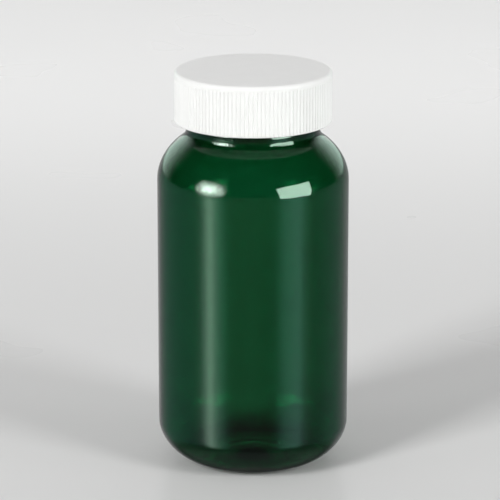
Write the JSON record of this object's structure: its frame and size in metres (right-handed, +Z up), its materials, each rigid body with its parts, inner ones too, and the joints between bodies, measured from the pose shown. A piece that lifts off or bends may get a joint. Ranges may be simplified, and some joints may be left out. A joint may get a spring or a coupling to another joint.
{
  "type": "packer bottle with push-and-turn closure",
  "caption": "Round green clear-plastic packer bottle with rounded shoulder and heel, threaded wide neck, and a white ribbed two-shell push-and-turn closure with liner.",
  "frame": {"origin": "centre of the circle that the bottle stands on", "axes": "+Z up along the bottle's axis, from the base to the closure; the bottle is round, so X and Y are only fixed by the start of the neck thread, which lies on +X"},
  "size_m": [0.0635, 0.0634, 0.1332],
  "materials": {
    "green_pet": "clear tinted, polished",
    "foil": "bright foil",
    "pulp": "waxed pulp board, matte",
    "inner_white": "natural polypropylene, satin",
    "shell_white": "white polypropylene, satin, finely ribbed"
  },
  "bodies": {
    "bottle": {"bottle": "green_pet"},
    "liner": {"liner_foil": "foil", "liner_board": "pulp"},
    "inner_cap": {"inner_cap": "inner_white"},
    "fingers": {"spring_fingers": "shell_white"},
    "shell": {"outer_shell": "shell_white"}
  },
  "joints": [
    {"name": "closure_lift", "type": "slide", "parent": "bottle", "child": "liner", "axis": [0, 0, 1], "range_m": [0, 0.0127]},
    {"name": "closure_turn", "type": "hinge", "parent": "liner", "child": "inner_cap", "pos_m": [0, 0, 0.123], "axis": [0, 0, 1], "range_deg": [0, 1080]},
    {"name": "shell_spin", "type": "hinge", "parent": "inner_cap", "child": "fingers", "pos_m": [0, 0, 0.13], "axis": [0, 0, 1], "continuous": true},
    {"name": "shell_press", "type": "slide", "parent": "fingers", "child": "shell", "axis": [0, 0, -1], "range_m": [0, 0.0016], "stiffness_N_per_m": 10000, "springref_m": -0.0004, "deforming": ["spring_fingers"]}
  ],
  "couplings": [
    {"joint": "closure_turn", "follows": "closure_lift", "rad_per_m": 1484.2}
  ]
}
